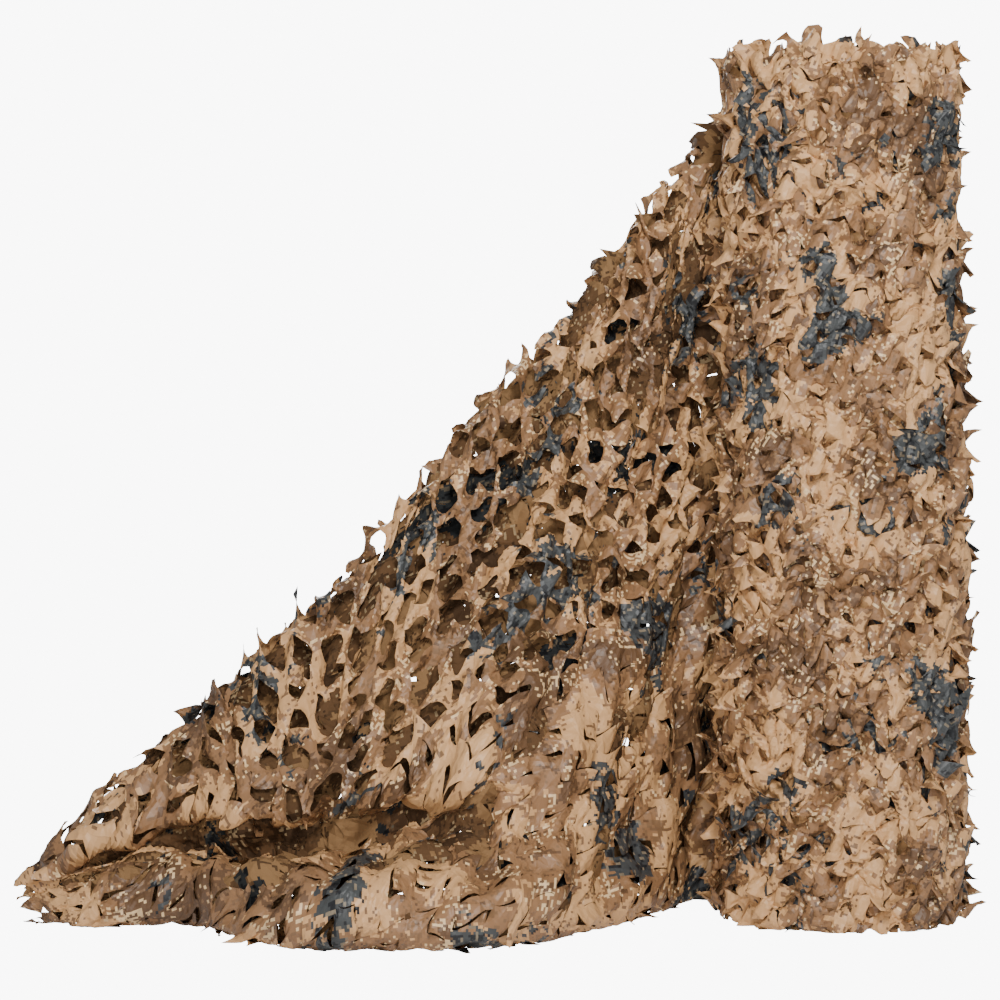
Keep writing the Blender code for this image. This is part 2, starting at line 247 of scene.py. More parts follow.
def flap_points(ridge_y, ridge_z, flap):
    """(y, z) control points from behind the ridge down the flap and out on the floor."""
    start = min(RIDGE_ROUND, flap)
    hang = min(flap, FLAP_FALL * (ridge_z - RIDGE_ROUND))
    rest = max(0.0, flap - hang)
    top_y = ridge_y + start
    knee_y = top_y + FLAP_LEAN * hang
    knee_z = max(FLOOR_GAP, ridge_z - start - 0.9 * hang)
    end_z = max(FLOOR_GAP, ridge_z - start - hang - rest)
    return (
        (top_y, ridge_z - 0.4 * start),
        (0.5 * (top_y + knee_y), ridge_z - 0.5 * (start + hang)),
        (knee_y + 0.06 * rest, knee_z),
        (knee_y + 0.5 * rest, end_z),
        (knee_y + rest, end_z),
    )


def smooth_line(points):
    """A cubic B-spline that starts and ends on its end points."""
    p = np.asarray(points)
    p = np.concatenate([p[:1], p[:1], p, p[-1:], p[-1:]])
    t = np.linspace(0, 1, SPLINE_STEPS, endpoint=False)[:, None]
    weights = ((1 - t) ** 3, 3 * t**3 - 6 * t**2 + 4, -3 * t**3 + 3 * t**2 + 3 * t + 1, t**3)
    spans = [sum(w * p[k + n] for n, w in enumerate(weights)) / 6 for k in range(len(p) - 3)]
    return np.concatenate([*spans, p[-1:]])


def evenly(line, count):
    """The line's points, set out again at even steps of its length."""
    way = np.concatenate([[0.0], np.cumsum(np.hypot(*np.diff(line, axis=0).T))])
    place = np.linspace(0, way[-1], count)
    return np.column_stack([np.interp(place, way, line[:, 0]), np.interp(place, way, line[:, 1])])


def smooth_drape(rows, along):
    """The drape without creases, as a grid of points: steps along the net by steps across it."""
    length = along[-1]
    surface = np.empty((FINE_ALONG, FINE_ACROSS, 3))
    for i, row in enumerate(rows):
        ends = min(along[i], length - along[i]) / TUCK_FADE
        tuck = TUCK * min(1.0, max(LEAST_TUCK, ends))
        line = smooth_line(front_points(*row[1:8], tuck) + flap_points(*row[6:9]))
        surface[i, :, 0] = row[0]
        surface[i, :, 1:] = evenly(line, FINE_ACROSS)
    across = np.linspace(0, 1, FINE_ACROSS)
    near_end = np.clip((along - length) / END_REACH + 1, 0, 1) ** 2
    surface[:, :, 0] += END_BOW * near_end[:, None] * (across - END_TIP)[None, :] ** 2
    return surface


def normals_of(surface):
    """The outward direction at each point of a grid."""
    normal = np.cross(np.gradient(surface, axis=1), np.gradient(surface, axis=0))
    return normal / (np.linalg.norm(normal, axis=2, keepdims=True) + 1e-12)


def add_creases(surface, along):
    """Raise the creases along the drape's normal, and lay what would sink on the floor."""
    across = np.linspace(0, NET_WIDTH, FINE_ACROSS)
    height = np.zeros((FINE_ALONG, FINE_ACROSS))
    for _, rise, wave, tilt, phase in CREASES:
        turn = math.radians(tilt)
        place = along[:, None] * math.cos(turn) + across[None, :] * math.sin(turn)
        height += rise * np.sin(2 * math.pi * place / wave + phase)
    off_floor = np.clip(surface[:, :, 2] / CREASE_RAMP, 0, 1)
    off_roll = np.clip(along / CREASE_RAMP, 0, 1)[:, None]
    creased = surface + normals_of(surface) * (height * off_floor * off_roll)[:, :, None]
    creased[:, :, 2] = np.maximum(creased[:, :, 2], FLOOR_GAP)
    return creased


def inset_rows(table, depth):
    """The sections of a second layer of net that lies so deep under the first."""
    inner = table.copy()
    move = {"toe_y": depth, "foot_y": depth, "ridge_y": INNER_RIDGE * depth, "ridge_z": -depth}
    for name, by in move.items():
        inner[:, COLUMNS.index(name)] += by
    for name in ("lip", "flap"):
        inner[:, COLUMNS.index(name)] = 0
    ridge = inner[:, COLUMNS.index("ridge_z")]
    for name, most in INNER_MOST:
        column = inner[:, COLUMNS.index(name)]
        np.minimum(column, most * np.maximum(ridge, depth), out=column)
    return inner[ridge > LEAST_INNER]


def draped_surface(depth=0.0):
    """The middle surface of the loose end, or of a layer so deep under it, and its length."""
    table = np.array(SECTIONS)
    if depth:
        table = inset_rows(table, depth)
    at = section_distances(table)
    along = np.linspace(0, at[-1], FINE_ALONG)
    return add_creases(smooth_drape(spline_through(at, table, along), along), along), at[-1]


def wrapped_drape():
    """The drape, begun a little way back round the roll, and its length."""
    surface, length = draped_surface()
    first = surface[0]
    radius = math.hypot(first[-1, 0], first[-1, 1])
    share = np.linspace(1, 0, WRAP_STEPS, endpoint=False)
    angle = math.atan2(first[-1, 1], first[-1, 0]) - share * WRAP_TURN
    reach = radius + (WRAP_RADIUS - radius) * np.sin(share * math.pi / 2)
    wrap = np.empty((WRAP_STEPS, FINE_ACROSS, 3))
    wrap[:, :, 0] = (reach * np.cos(angle))[:, None]
    wrap[:, :, 1] = (reach * np.sin(angle))[:, None]
    wrap[:, :, 2] = first[None, :, 2]
    ahead = WRAP_TURN * (radius + WRAP_RADIUS) / 2
    whole = np.concatenate([wrap, surface])
    way = np.concatenate(
        [np.linspace(-ahead, 0, WRAP_STEPS, endpoint=False), np.linspace(0, length, FINE_ALONG)]
    )
    even = np.linspace(-ahead, length, FINE_ALONG + WRAP_STEPS)
    spread = np.empty((len(even), FINE_ACROSS, 3))
    for j in range(FINE_ACROSS):
        for axis in range(3):
            spread[:, j, axis] = np.interp(even, way, whole[:, j, axis])
    return spread, length + ahead


def wound_surface(radius, turns, drop):
    """A turn of the roll, wound back from the loose end, whose radius drops as it goes in."""
    share = np.linspace(0, 1, WOUND_STEPS)[:, None]
    height = np.linspace(0, 1, WOUND_ROWS)[None, :]
    angle = WOUND_START - share * turns * 2 * math.pi
    around = radius - drop * share + ROLL_FLARE * (1 - height) ** 2
    for _, size, waves, twist in SWAY:
        around = around + size * np.sin(waves * angle + twist * height)
    surface = np.empty((WOUND_STEPS, WOUND_ROWS, 3))
    surface[:, :, 0] = around * np.cos(angle)
    surface[:, :, 1] = around * np.sin(angle)
    surface[:, :, 2] = FLOOR_GAP + (ROLL_TOP - FLOOR_GAP) * height
    return surface, turns * 2 * math.pi * radius


def coiled_surface(low, high):
    """The turns inside the roll, seen at its end, as a band along a spiral."""
    turns = (COIL_OUT - COIL_IN) / COIL_PITCH
    share = np.linspace(0, 1, COIL_STEPS)
    radius = np.sqrt(COIL_OUT**2 + (COIL_IN**2 - COIL_OUT**2) * share)
    angle = WOUND_START - (COIL_OUT - radius) / COIL_PITCH * 2 * math.pi
    surface = np.empty((COIL_STEPS, COIL_ROWS, 3))
    surface[:, :, 0] = (radius * np.cos(angle))[:, None]
    surface[:, :, 1] = (radius * np.sin(angle))[:, None]
    surface[:, :, 2] = np.linspace(low, high, COIL_ROWS)[None, :]
    return surface, math.pi * turns * (COIL_OUT + COIL_IN)


def sampled(grid, u, v):
    """Points of a grid at shares u and v of its two ways, and a little over its edges."""
    a = np.clip(u, -OVERHANG, 1 + OVERHANG) * (grid.shape[0] - 1)
    b = np.clip(v, -OVERHANG, 1 + OVERHANG) * (grid.shape[1] - 1)
    i = np.clip(a.astype(int), 0, grid.shape[0] - 2)
    j = np.clip(b.astype(int), 0, grid.shape[1] - 2)
    a, b = (a - i)[:, None], (b - j)[:, None]
    near = (1 - b) * grid[i, j] + b * grid[i, j + 1]
    far = (1 - b) * grid[i + 1, j] + b * grid[i + 1, j + 1]
    return (1 - a) * near + a * far


def flattened(surface, length):
    """The surface laid flat: nodes at even shares of its two ways, with their distances kept."""
    share = np.linspace(0, 1, FLAT_NODES)
    u, v = np.meshgrid(share, share, indexing="ij")
    solid = sampled(surface, u.ravel(), v.ravel()).reshape(FLAT_NODES, FLAT_NODES, 3)
    flat = np.stack([u * length, v * NET_WIDTH], axis=2)
    node = np.arange(FLAT_NODES**2).reshape(FLAT_NODES, FLAT_NODES)
    for stride, rounds in FLAT_LEVELS:
        n = node[::stride, ::stride]
        corner = solid.reshape(-1, 3)
        sets = []
        for first, second, axis in (
            (n[:-1], n[1:], 0),
            (n[:, :-1], n[:, 1:], 1),
            (n[:-1, :-1], n[1:, 1:], 0),
            (n[:-1, 1:], n[1:, :-1], 0),
        ):
            for begin in (0, 1):
                pick = np.arange(begin, first.shape[axis], 2)
                p = np.take(first, pick, axis).ravel()
                q = np.take(second, pick, axis).ravel()
                sets.append((p, q, np.linalg.norm(corner[p] - corner[q], axis=1)))
        points = flat.reshape(-1, 2)
        for _ in range(rounds):
            pull(points, sets, FLAT_PULL)
        coarse = points[n]
        flat = sampled(coarse, u.ravel(), v.ravel()).reshape(FLAT_NODES, FLAT_NODES, 2)
    plain = np.stack([u * length, v * NET_WIDTH], axis=2)
    while areas_of(flat).min() < LEAST_FLAT * length * NET_WIDTH:
        move = np.pad(flat - plain, ((1, 1), (1, 1), (0, 0)), mode="edge")
        move = (move[:-2] + 2 * move[1:-1] + move[2:]) / 4
        flat = plain + (move[:, :-2] + 2 * move[:, 1:-1] + move[:, 2:]) / 4
    roll_side = flat[0, -1] - flat[0, 0]
    turn = math.pi / 2 - math.atan2(roll_side[1], roll_side[0])
    spin = np.array([[math.cos(turn), math.sin(turn)], [-math.sin(turn), math.cos(turn)]])
    return flat @ spin


def slopes_of(flat):
    """How a flat sheet's points move for each share of its two ways."""
    return [np.gradient(flat, axis=axis) * (flat.shape[axis] - 1) for axis in (0, 1)]


def areas_of(flat):
    """A flat sheet's area at each node, for the whole of its two ways."""
    by_u, by_v = slopes_of(flat)
    return by_u[..., 0] * by_v[..., 1] - by_u[..., 1] * by_v[..., 0]


def nearest_node(flat, spot):
    """The shares of the flat sheet's node that is nearest to each spot."""
    node = flat.reshape(-1, 2)
    near = np.empty(len(spot), int)
    for part in np.array_split(np.arange(len(spot)), len(spot) // NODE_BATCH + 1):
        gap = (node**2).sum(axis=1) - 2 * spot[part] @ node.T
        near[part] = gap.argmin(axis=1)
    i, j = np.divmod(near, flat.shape[1])
    return np.stack([i / (flat.shape[0] - 1), j / (flat.shape[1] - 1)], axis=1)


def plain_flat(length, width):
    """The flat form of a surface whose two ways are already true."""
    share = np.linspace(0, 1, FLAT_NODES)
    u, v = np.meshgrid(share, share, indexing="ij")
    return np.stack([u * length, v * width], axis=2)


def spans_of(flat, cell, slant):
    """How many pitches and rows of slits cover a flat sheet, where the rows run at a slant."""
    turn = math.radians(slant)
    corner = flat.reshape(-1, 2)
    along = np.ptp(corner @ (math.cos(turn), math.sin(turn)))
    across = np.ptp(corner @ (-math.sin(turn), math.cos(turn)))
    return math.ceil(along / cell[0]) + 1, math.ceil(across / cell[1]) + 1


def places_on(flat, net, cell, slant):
    """Where a net's points come on the flat sheet, and so as shares of the surface's two ways."""
    turn = math.radians(slant)
    along = np.array([math.cos(turn), math.sin(turn)])
    across = np.array([-math.sin(turn), math.cos(turn)])
    corner = flat.reshape(-1, 2)
    middle = [(np.min(corner @ way) + np.max(corner @ way)) / 2 for way in (along, across)]
    x = (net.flat[:, 0] - net.size[0] / 2) * cell[0] / SLIT_PITCH + middle[0]
    y = (net.flat[:, 1] - net.size[1] / 2) * cell[1] / SLIT_ROW + middle[1]
    spot = x[:, None] * along + y[:, None] * across
    by_u, by_v = slopes_of(flat)
    place = nearest_node(flat, spot)
    for _ in range(FLAT_TRIES):
        u, v = place[:, 0], place[:, 1]
        miss = spot - sampled(flat, u, v)
        a, b = sampled(by_u, u, v), sampled(by_v, u, v)
        area = a[:, 0] * b[:, 1] - a[:, 1] * b[:, 0]
        step = np.stack([
            (miss[:, 0] * b[:, 1] - miss[:, 1] * b[:, 0]) / area,
            (a[:, 0] * miss[:, 1] - a[:, 1] * miss[:, 0]) / area,
        ], axis=1)
        step = np.clip(step, -FLAT_STEP, FLAT_STEP)
        place = np.clip(place + step, -FLAT_OVER, 1 + FLAT_OVER)
    return spot, place[:, 0], place[:, 1]


class CutNet:
    """Cloth with rows of slits: its flat points, faces, threads and the points that hold it."""

    def __init__(self, pitches, rows, rng, steps, row_steps):
        self.rows = rows
        self.steps = steps  # points for a slit's pitch
        self.row_steps = row_steps  # and for the strip of cloth between two rows
        self.columns = np.arange(pitches * steps + 1)
        self.half = int(round(BRIDGE / SLIT_PITCH * steps / 2))  # half a bridge, in steps
        self.size = (pitches * SLIT_PITCH, rows * SLIT_ROW)
        lines, cut, lift_below, lift_above = self.slits(rng)
        self.join(lines, cut)
        self.find_tips(rng)
        self.lift = np.zeros(len(self.flat))
        for k in range(1, rows):
            for j in range(row_steps + 1):
                self.lift[self.node[k - 1, j]] += lift_below[k] * j / row_steps
                self.lift[self.node[k, row_steps - j]] += lift_above[k] * j / row_steps

    def shift(self, k):
        """The step at which row k's slits begin."""
        return (k % 2) * self.steps // 2

    def slits(self, rng):
        """Each row's line, where it is cut, and how far the leaves below and above start raised.
        A slit is cut as a wave, so that it has a leaf on either side."""
        rows, steps, half, columns = self.rows, self.steps, self.half, self.columns
        lines = np.zeros((rows + 1, len(columns)))
        cut = np.zeros(lines.shape, bool)
        lift_below, lift_above = np.zeros((2, *lines.shape))
        for k in range(rows + 1):
            slit, place = np.divmod(columns - self.shift(k), steps)
            slit -= slit.min()
            number = slit.max() + 1
            share = np.clip((place - half) / (steps - 2 * half), 0, 1)
            tip = (TIP_AT + rng.uniform(*TIP_SPREAD, number))[slit]
            side = np.where(share < 0.5, 1, -1) * (1 - 2 * (k % 2))
            size = LEAF * rng.uniform(*LEAF_SPREAD, (2, number))[(share < 0.5).astype(int), slit]
            if not 0 < k < rows:
                continue
            from_end = np.minimum(share, 1 - share)
            outer = np.clip(from_end / tip, 0, 1) ** OUTER_CURVE
            inner = 1 - np.clip((from_end - tip) / (0.5 - tip), 0, 1) ** INNER_CURVE
            lines[k] = side * size * np.where(from_end < tip, outer, inner)
            cut[k] = (place > half) & (place < steps - half)
            raised = np.sin(math.pi * share) * rng.uniform(*LIFT_SPREAD, number)[slit]
            lift_below[k] = raised * np.where(side > 0, 1, UNDER_LIFT)
            lift_above[k] = raised * np.where(side > 0, UNDER_LIFT, 1)
        return lines, cut, lift_below, lift_above

    def join(self, lines, cut):
        """The cloth's points, shared between its strips where it isn't cut, and its bridges."""
        rows, row_steps, columns = self.rows, self.row_steps, self.columns
        share = (np.arange(row_steps + 1) / row_steps)[None, :, None]
        y = (np.arange(rows)[:, None, None] + share) * SLIT_ROW
        y = y + (1 - share) * lines[:-1, None, :] + share * lines[1:, None, :]
        x = np.broadcast_to(columns * SLIT_PITCH / self.steps, y.shape)
        node = np.arange(y.size).reshape(y.shape)
        for k in range(1, rows):
            node[k, 0, ~cut[k]] = node[k - 1, row_steps, ~cut[k]]
        used, node = np.unique(node, return_inverse=True)
        self.node = node.reshape(y.shape)
        self.flat = np.stack([x.ravel(), y.ravel()], axis=1)[used]
        bridges = [columns[(columns - self.shift(k)) % self.steps == 0] for k in range(rows + 1)]
        held = [self.node[k, 0, bridges[k]] for k in range(rows)]
        self.held = np.unique(np.concatenate([*held, self.node[rows - 1, row_steps, bridges[rows]]]))
        # Blocks of cloth that are there or left out as a whole.
        half_pitch = np.arange(len(columns) - 1) // (self.steps // 2)
        block = np.arange(rows)[:, None, None] * len(columns) + half_pitch[None, None, :]
        self.block = np.broadcast_to(block, (rows, row_steps, len(half_pitch))).ravel()

    def find_tips(self, rng):
        """The leaves' tips with their neighbours, and how high each is to stand."""
        steps, half = self.steps, self.half
        tips = []
        for k in range(1, self.rows):
            for begin in range(self.shift(k), len(self.columns) - steps + 1, steps):
                near = begin + half + round(TIP_AT * (steps - 2 * half))
                far = 2 * begin + steps - near
                if k % 2:
                    near, far = far, near
                for step, _ in TIP_WIDTH:
                    tips += [self.node[k - 1, self.row_steps, near + step], self.node[k, 0, far + step]]
        self.tips = np.array(tips)
        slits = len(tips) // (2 * len(TIP_WIDTH))
        stand = rng.uniform(LOW_TIP, 1, (slits, 1, 2))
        self.stand = (stand * np.array([[[share] for _, share in TIP_WIDTH]])).ravel()

    def weave(self, inside, start, closed):
        """Set up the faces of the blocks of cloth that are inside, and the threads between points.
        Where the net is closed, a thread is as long as its way on the surface."""
        self.start = start
        self.closed = closed
        n = self.node
        corners = (n[:, :-1, :-1], n[:, :-1, 1:], n[:, 1:, 1:], n[:, 1:, :-1])
        faces = np.stack(corners, axis=-1).reshape(-1, 4)
        total = np.maximum(np.bincount(self.block), 1)
        score = np.bincount(self.block, inside[faces].mean(axis=1)) / total
        self.faces = faces[score[self.block] > 0.5]
        self.live = np.zeros(len(self.flat), bool)
        self.live[self.faces] = True
        self.held = self.held[self.live[self.held]]
        self.stand = self.stand[self.live[self.tips]]
        self.tips = self.tips[self.live[self.tips]]
        self.threads = [
            *self.pairs(n[:, :, :-1], n[:, :, 1:], 2, 1),
            *self.pairs(n[:, :-1], n[:, 1:], 1, 1),
            *self.pairs(corners[0], corners[2], 2, 1),
            *self.pairs(corners[1], corners[3], 2, 1),
        ]
        self.bends = [
            (spread, slack, self.pairs(n[:, :, :-spread], n[:, :, spread:], 2, spread)
             + self.pairs(n[:, :-spread], n[:, spread:], 1, spread))
            for spread, slack in BENDS
        ]

    def pairs(self, a, b, axis, step):
        """Pairs of points with their flat distance, in sets where no point comes twice."""
        sets = []
        for band in (0, 1):
            for begin in (0, step):
                pick = [m for m in range(a.shape[axis]) if begin <= m % (2 * step) < begin + step]
                p = np.take(a[band::2], pick, axis).ravel()
                q = np.take(b[band::2], pick, axis).ravel()
                both = self.live[p] & self.live[q]
                p, q = p[both], q[both]
                if len(p):
                    cloth = np.linalg.norm(self.flat[p] - self.flat[q], axis=1)
                    laid = np.linalg.norm(self.start[p] - self.start[q], axis=1)
                    share = (self.closed[p] + self.closed[q]) / 2
                    sets.append((p, q, (1 - share) * cloth + share * CLOSED_SLACK * laid))
        return sets


def pull(points, sets, share, slack=None):
    """Move each pair to its flat distance, or with slack only apart from under that share of it."""
    for p, q, rest in sets:
        way = points[q] - points[p]
        far = np.sqrt(np.einsum("ij,ij->i", way, way)) + TINY
        excess = far - rest if slack is None else np.minimum(far - rest * slack, 0)
        way *= (0.5 * share * excess / far)[:, None]
        points[p] += way
        points[q] -= way


def uneven(u, v, rng):
    """A smooth random wave over the cloth, about -1 to 1."""
    wave = np.zeros(len(u))
    for size in WOBBLE_WAVES:
        for turn, phase in rng.uniform(0, 2 * math.pi, (WOBBLE_TURNS, 2)):
            wave += np.sin(2 * math.pi * (u * math.cos(turn) + v * math.sin(turn)) / size + phase)
    return wave / math.sqrt(WOBBLE_TURNS * len(WOBBLE_WAVES))


def relaxed(net, normal, u, v, rng, rounds, lift, stand, cap):
    """Let the net's strips find their bends, near the surface that it lies on."""
    start = net.start
    wave = WOBBLE * uneven(u, v, rng)
    goal = (start + normal * (HELD_SHARE * wave)[:, None])[net.held]
    goal += JUMBLE * (1 - net.closed[net.held])[:, None] * rng.normal(size=goal.shape)
    points = start + normal * (net.lift * lift + wave)[:, None]
    tip_normal = normal[net.tips]
    rise_to = stand * net.stand * (1 - CLOSED_CALM * net.closed[net.tips])
    for k in range(rounds):
        pull(points, net.threads, 1.0 if k > SOFT_ROUNDS else 0.5)
        for spread, slack, sets in net.bends:
            if k % spread == 0:
                pull(points, sets, BEND_PULL, slack=slack)
        points[net.held] += HOLD * (goal - points[net.held])
        rise = np.einsum("ij,ij->i", points[net.tips] - start[net.tips], tip_normal)
        points[net.tips] += tip_normal * (TIP_PULL * (rise_to - rise))[:, None]
        off = points - start
        far = np.sqrt(np.einsum("ij,ij->i", off, off))
        points = start + off * np.minimum(1, cap / np.maximum(far, TINY))[:, None]
        np.maximum(points[:, 2], FLOOR_GAP, out=points[:, 2])
    return points


def new_object(name, points, faces, material, uv=None):
    """A mesh object; uv has a place on the printed cloth for each corner of each face."""
    mesh = bpy.data.meshes.new(name)
    mesh.from_pydata(np.asarray(points).tolist(), [], [list(face) for face in faces])
    mesh.shade_smooth()
    mesh.set_sharp_from_angle(angle=FOLD)
    if uv is not None:
        mesh.uv_layers.new(name="cloth").data.foreach_set("uv", uv.astype(np.float32).ravel())
    mesh.materials.append(material)
    piece = bpy.data.objects.new(name, mesh)
    bpy.context.scene.collection.objects.link(piece)
    return piece


def hem_closed(u, v, wave):
    """How far the drape's net is closed: its lower front lies as uncut cloth would."""
    edge = np.interp(u, *zip(*CLOSED)) + CLOSED_WAVER * wave
    return CLOSED_MOST * np.clip((edge - v) / CLOSED_FADE, 0, 1)


def net_piece(
    name, laid, material, cell, *, seed, slant, detail, stand, lift, cap,
    rounds=ROUNDS, closed=0.0, trim=1.0,
):
    """A cut net, laid on a surface and relaxed. Its print starts at a random place of the cloth."""
    surface, flat = laid
    rng = np.random.default_rng(seed)
    net = CutNet(*spans_of(flat, cell, slant), rng, *detail)
    spot, u, v = places_on(flat, net, cell, slant)
    if closed == "hem":
        closed = hem_closed(u, v, uneven(*spot.T, rng))
    inside = (u > 0) & (u < trim) & (v > 0) & (v < trim)
    net.weave(inside, sampled(surface, u, v), np.broadcast_to(closed, len(u)))
    normal = sampled(normals_of(surface), u, v)
    points = relaxed(net, normal, *spot.T, rng, rounds, lift, stand, cap)
    number = np.cumsum(net.live) - 1
    lies_flat = net.closed[net.faces].mean(axis=1) > 0.5
    uv = np.where(lies_flat[:, None, None], spot[net.faces], net.flat[net.faces])
    uv = uv + rng.uniform(0, PRINT_LENGTH, 2)
    return new_object(name, points[net.live], number[net.faces].tolist(), material, uv)


def linear(colour):
    """A colour given as it looks on a screen, 0 to 255, as the linear one that shaders take."""
    c = np.array(colour) / 255
    return (*np.where(c <= 0.04045, c / 12.92, ((c + 0.055) / 1.055) ** 2.4), 1.0)


PIXEL = 0.0044  # side of one block of the print
PRINT_LENGTH = 3  # length of printed cloth that the pieces are cut from
PRINT = {
    "tan": (202, 156, 107),
    "brown": (142, 105, 72),
    "deep": (100, 73, 50),
    "fleck": (126, 95, 66),
    "cream": (222, 188, 141),
    "slate": (64, 66, 66),
    "coal": (34, 35, 37),
    "ash": (124, 111, 92),
}
PAINTED_INNER_SHADE = 0.36  # painted shade: the inner layer's print is darkened to this share for the shade inside the drape, and made duller
# The noises of the print: scale, detail, shift.
NOISES = {
    "zone": (6.5, 1, 1.3),
    "ragged": (60, 1, 5.1),
    "crowd": (16, 1, 6.2),
    "fine": (120, 0, 6.2),
    "finer": (130, 0, 9.4),
    "patch": (5.5, 1, 7.7),
    "patch_edge": (45, 2, 2.9),
}
# A colour is printed where a sum of noises is over a limit: the noises with their weights, the limit.
PRINTED = {
    "brown": ({"zone": 0.78, "ragged": 0.22}, 0.480),
    "deep": ({"zone": 0.7, "ragged": 0.3}, 0.570),
    "fleck": ({"fine": 0.5, "crowd": -0.5}, 0.115),
    "cream": ({"finer": 0.5, "crowd": 0.5}, 0.61),
    "slate": ({"patch": 0.76, "patch_edge": 0.24}, 0.592),
}
COAL_LIMIT = 0.56  # of the ragged noise
ASH_LIMIT = 0.66  # of the fine noise
CRUMPLES = ((20.0, 2.2), (43.0, 4.9))  # scale, shift
CRUMPLE_STRENGTH = 0.8
CRUMPLE_RISE = 0.012
WEAVE_SCALE = 500.0
WEAVE_STRENGTH = 0.15
WEAVE_RISE = 0.0003


def net_material(name, shade=1.0, roughness=0.42, gloss=0.4):
    """Printed cloth: blocks of tan and brown with patches of slate, crumples and a fine weave."""
    material = bpy.data.materials.new(name)
    material.use_nodes = True
    tree = material.node_tree
    shader = tree.nodes["Principled BSDF"]

    def node(kind, **values):
        made = tree.nodes.new(kind)
        for key, value in values.items():
            setattr(made, key, value)
        return made

    def feed(socket, value):
        if isinstance(value, bpy.types.NodeSocket):
            tree.links.new(value, socket)
        else:
            socket.default_value = value

    def maths(operation, first, second, third=0.0):
        made = node("ShaderNodeMath", operation=operation)
        for socket, value in zip(made.inputs, (first, second, third)):
            feed(socket, value)
        return made.outputs[0]

    def moved(vector, *shift):
        move = node("ShaderNodeVectorMath", operation="ADD")
        feed(move.inputs[0], vector)
        feed(move.inputs[1], (*shift, 0))
        return move.outputs[0]

    def noise(vector, scale, detail, shift):
        made = node("ShaderNodeTexNoise")
        feed(made.inputs["Vector"], moved(vector, shift, 0.7 * shift))
        feed(made.inputs["Scale"], scale)
        feed(made.inputs["Detail"], detail)
        return made.outputs["Fac"]

    def mixed(*parts):
        """The weighted sum of noises, which keeps their middle value."""
        total = 0.0
        for value, weight in parts:
            total = maths("MULTIPLY_ADD", value, weight, total)
        return total

    # a shade below 1 darkens every print colour: painted shade
    def tone(name):
        return (*(shade * c for c in linear(PRINT[name])[:3]), 1)

    def blended(share, below, above):
        made = node("ShaderNodeMix", data_type="RGBA")
        sockets = (made.inputs[0], made.inputs[6], made.inputs[7])
        for socket, value in zip(sockets, (share, below, above)):
            feed(socket, value)
        return made.outputs[2]

    def bump(strength, rise, height):
        made = node("ShaderNodeBump")
        feed(made.inputs["Strength"], strength)
        feed(made.inputs["Distance"], rise)
        feed(made.inputs["Height"], height)
        return made

    cloth = node("ShaderNodeUVMap", uv_map="cloth").outputs[0]
    snap = node("ShaderNodeVectorMath", operation="SNAP")
    feed(snap.inputs[0], cloth)
    feed(snap.inputs[1], (PIXEL, PIXEL, PIXEL))
    block = snap.outputs[0]
    noises = {key: noise(block, *values) for key, values in NOISES.items()}
    where = {}
    for key, (weights, limit) in PRINTED.items():
        total = mixed(*((noises[part], weight) for part, weight in weights.items()))
        where[key] = maths("GREATER_THAN", total, limit)
    where["cream"] = maths("MULTIPLY", where["brown"], where["cream"])
    colour = tone("tan")
    for key in ("brown", "deep", "fleck", "cream"):
        colour = blended(where[key], colour, tone(key))
    dark = tone("slate")
    for key, part, limit in (("coal", "ragged", COAL_LIMIT), ("ash", "fine", ASH_LIMIT)):
        dark = blended(maths("GREATER_THAN", noises[part], limit), dark, tone(key))
    feed(shader.inputs["Base Color"], blended(where["slate"], colour, dark))

    creases = []
    for scale, shift in CRUMPLES:
        crumple = node("ShaderNodeTexVoronoi", feature="DISTANCE_TO_EDGE")
        feed(crumple.inputs["Vector"], moved(cloth, shift, shift))
        feed(crumple.inputs["Scale"], scale)
        creases.append((crumple.outputs["Distance"], CRUMPLES[0][0] / scale))
    weave = node("ShaderNodeTexWave", bands_direction="DIAGONAL")
    feed(weave.inputs["Vector"], cloth)
    feed(weave.inputs["Scale"], WEAVE_SCALE)
    crumple_bump = bump(CRUMPLE_STRENGTH, CRUMPLE_RISE, mixed(*creases))
    weave_bump = bump(WEAVE_STRENGTH, WEAVE_RISE, weave.outputs["Fac"])
    feed(weave_bump.inputs["Normal"], crumple_bump.outputs[0])
    feed(shader.inputs["Normal"], weave_bump.outputs[0])
    shader.inputs["Roughness"].default_value = roughness
    shader.inputs["Specular IOR Level"].default_value = gloss
    return material


WHITE = 9.0  # the bright backdrop, as the camera sees it
FLOOR_REACH = 40.0
FLOOR_COLOUR = (245, 245, 245)
CAMERA_PLACE = (-0.595, -5.0, 0.75)
CAMERA_LENS = 102.857
CAMERA_SENSOR = 36
CAMERA_SHIFT = -0.013
AROUND = 0.34  # strength of the light from all around
LIGHTS_AIM = (-0.5, 0.0, 0.6)
LIGHTS = (
    # name, place, size, power
    ("key", (-0.2, -3.4, 2.7), 0.7, 142),
    ("fill", (-0.9, -4.0, 0.8), 1.6, 50),
    ("back", (-0.9, 4.4, 2.8), 2.0, 120),
)


def bright_to_camera(tree, kind, usual, output):
    """Show plain white where the camera sees the surface, and the usual one to all other light."""
    white = tree.nodes.new(kind)
    white.inputs["Color"].default_value = (1, 1, 1, 1)
    white.inputs["Strength"].default_value = WHITE
    path = tree.nodes.new("ShaderNodeLightPath")
    mix = tree.nodes.new("ShaderNodeMixShader")
    tree.links.new(path.outputs["Is Camera Ray"], mix.inputs[0])
    tree.links.new(tree.nodes[usual].outputs[0], mix.inputs[1])
    tree.links.new(white.outputs[0], mix.inputs[2])
    tree.links.new(mix.outputs[0], tree.nodes[output].inputs["Surface"])


